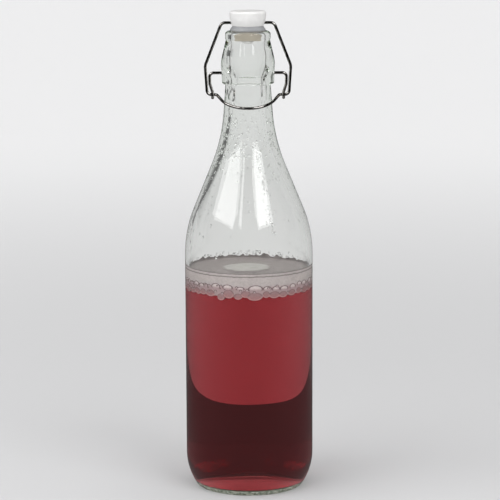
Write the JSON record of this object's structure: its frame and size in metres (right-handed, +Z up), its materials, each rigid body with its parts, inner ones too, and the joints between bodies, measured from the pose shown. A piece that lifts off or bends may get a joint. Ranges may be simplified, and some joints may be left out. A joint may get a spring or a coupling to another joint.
{
  "type": "swing top bottle",
  "caption": "Round glass bottle with a sloping shoulder, closed by a white stopper with a rubber seal on a hinged wire bail that the thumb swings open; part filled with a red drink.",
  "frame": {"origin": "middle of the foot ring, on the surface that the bottle stands on", "axes": "+Z up along the bottle's axis; -Y is the front, where the thumb arc is; the dimples and links are at +X and -X"},
  "size_m": [0.084, 0.084, 0.3146],
  "materials": {
    "clear_glass": "polished",
    "red_drink": "gloss",
    "pale_froth": "satin",
    "white_plastic": "satin",
    "grey_rubber": "matte",
    "steel_wire": "polished"
  },
  "bodies": {
    "bottle": {"glass_bottle": "clear_glass", "drink_fill": "red_drink", "foam_layer": "pale_froth"},
    "links": {"left_link": "steel_wire", "right_link": "steel_wire"},
    "lever_wire": {"lever_bail": "steel_wire"},
    "stopper": {"stopper_head": "white_plastic", "gasket": "grey_rubber"}
  },
  "joints": [
    {"name": "link_swing", "type": "hinge", "parent": "bottle", "child": "links", "pos_m": [0, 0, 0.2744], "axis": [-1, 0, 0], "range_deg": [0, 150]},
    {"name": "lever_swing", "type": "hinge", "parent": "links", "child": "lever_wire", "pos_m": [0, 0, 0.2602], "axis": [-1, 0, 0], "range_deg": [-110, 0]},
    {"name": "stopper_tilt", "type": "hinge", "parent": "lever_wire", "child": "stopper", "pos_m": [0, 0, 0.30692], "axis": [-1, 0, 0], "range_deg": [-50, 0]}
  ],
  "couplings": [
    {"joint": "lever_swing", "follows": "link_swing", "ratio": -0.69606},
    {"joint": "stopper_tilt", "follows": "link_swing", "ratio": -0.30394}
  ]
}
